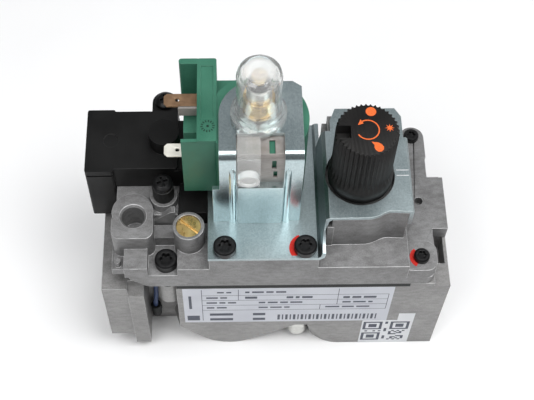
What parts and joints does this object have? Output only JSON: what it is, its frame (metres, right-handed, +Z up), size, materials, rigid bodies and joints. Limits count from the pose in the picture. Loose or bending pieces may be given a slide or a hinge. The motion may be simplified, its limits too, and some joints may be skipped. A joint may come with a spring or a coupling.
{
  "type": "gas valve",
  "caption": "Boiler gas valve with flanged inlet and outlet, push-and-turn gas tap, solenoid shut-off and a modulating pressure regulator under a clear cap.",
  "frame": {"origin": "centre of the inlet port on the inlet flange's face", "axes": "+X along the gas flow from inlet to outlet, +Z up along the knob and coil axes"},
  "size_m": [0.1278, 0.0664, 0.1398],
  "materials": {
    "cast_aluminium": "die cast, satin grey",
    "gasket_rubber": "matt black rubber",
    "zinc_plate": "bright zinc plate",
    "green_plastic": "moulded green",
    "enamelled_wire": "enamelled copper winding",
    "tinned_copper": "dull copper",
    "nickel_tab": "tinned",
    "brass_parts": "machined brass",
    "plated_steel": "plated steel",
    "spring_steel": "drawn wire",
    "strip_steel": "dull grey-brown strip",
    "clear_plastic": "clear moulded plastic",
    "black_plastic": "moulded black",
    "black_steel": "blackened steel",
    "knob_plastic": "moulded dark grey",
    "magnet_case": "yellow passivated steel",
    "blue_lead": "blue insulation",
    "label_film": "printed film"
  },
  "bodies": {
    "valve_body": {"lower_body": "cast_aluminium", "body_gasket": "gasket_rubber", "upper_cover": "cast_aluminium", "base_plate": "zinc_plate", "yoke_bracket": "zinc_plate", "coil_housing": "green_plastic", "coil_winding": "enamelled_wire", "line_tab": "tinned_copper", "neutral_tab": "nickel_tab", "earth_tab": "strip_steel", "core_tube": "brass_parts", "regulator_spring": "spring_steel", "diaphragm": "gasket_rubber", "window_strip": "strip_steel", "solenoid_block": "black_plastic", "solenoid_tube": "brass_parts", "solenoid_winding": "enamelled_wire", "solenoid_spring": "spring_steel", "spacer_sleeve": "black_plastic", "cross_screws": "black_steel", "torx_screws_m4": "black_steel", "torx_screws_m3": "black_steel", "knob_spring": "spring_steel", "spindle_seal": "gasket_rubber", "safety_spring": "spring_steel", "thermo_magnet": "magnet_case", "test_nipple": "plated_steel", "lead_wire": "blue_lead", "lead_sleeve": "gasket_rubber", "rating_label": "label_film", "code_label": "label_film", "inlet_filter": "spring_steel"},
    "tap": {"tap_cam": "brass_parts"},
    "knob": {"knob": "knob_plastic", "knob_rod": "plated_steel"},
    "flame_valve": {"safety_disc": "gasket_rubber", "safety_stem": "plated_steel"},
    "regulator": {"modulator_core": "plated_steel", "regulator_stem": "brass_parts", "diaphragm_plate": "plated_steel", "regulator_disc": "gasket_rubber"},
    "shutoff_valve": {"armature": "plated_steel", "solenoid_disc": "gasket_rubber"},
    "pilot_adjuster": {"pilot_screw": "brass_parts"},
    "cap": {"clear_cap": "clear_plastic"},
    "low_pressure_adjuster": {"adjuster_nut": "plated_steel"},
    "high_pressure_adjuster": {"adjuster_sleeve": "plated_steel", "adjuster_seal": "gasket_rubber", "adjuster_screw": "brass_parts"},
    "test_point": {"test_screw": "plated_steel"}
  },
  "joints": [
    {"name": "knob_turn", "type": "hinge", "parent": "valve_body", "child": "tap", "pos_m": [0.0902, 0.0031, 0.04], "axis": [0, 0, 1], "range_deg": [-70, 67]},
    {"name": "knob_push", "type": "slide", "parent": "tap", "child": "knob", "axis": [0, 0, -1], "range_m": [0, 0.004], "stiffness_N_per_m": 600, "springref_m": -0.004, "deforming": ["knob_spring"]},
    {"name": "flame_valve_lift", "type": "slide", "parent": "valve_body", "child": "flame_valve", "axis": [0, 0, -1], "range_m": [0, 0.004], "stiffness_N_per_m": 150, "springref_m": -0.004, "deforming": ["safety_spring"]},
    {"name": "regulator_lift", "type": "slide", "parent": "valve_body", "child": "regulator", "axis": [0, 0, 1], "range_m": [0, 0.0018], "stiffness_N_per_m": 120, "springref_m": -0.003, "deforming": ["regulator_spring", "diaphragm"]},
    {"name": "shutoff_lift", "type": "slide", "parent": "valve_body", "child": "shutoff_valve", "axis": [0, 0, 1], "range_m": [0, 0.0025], "stiffness_N_per_m": 150, "springref_m": -0.004, "deforming": ["solenoid_spring"]},
    {"name": "pilot_adjust", "type": "hinge", "parent": "valve_body", "child": "pilot_adjuster", "pos_m": [0.0318, -0.011, 0.04], "axis": [0, 0, 1], "range_deg": [-540, 540]},
    {"name": "cap_lift", "type": "slide", "parent": "valve_body", "child": "cap", "axis": [0, 0, 1], "range_m": [0, 0.03]},
    {"name": "low_pressure_turn", "type": "hinge", "parent": "valve_body", "child": "low_pressure_adjuster", "pos_m": [0.0555, 0.0084, 0.087], "axis": [0, 0, 1], "range_deg": [-360, 360]},
    {"name": "high_pressure_turn", "type": "hinge", "parent": "valve_body", "child": "high_pressure_adjuster", "pos_m": [0.0555, 0.0084, 0.097], "axis": [0, 0, 1], "range_deg": [-360, 360]},
    {"name": "test_point_turn", "type": "hinge", "parent": "valve_body", "child": "test_point", "pos_m": [0.0714, -0.017, -0.02], "axis": [0, 0, 1], "range_deg": [0, 360]}
  ],
  "couplings": [
    {"joint": "flame_valve_lift", "follows": "knob_push", "ratio": 1}
  ]
}
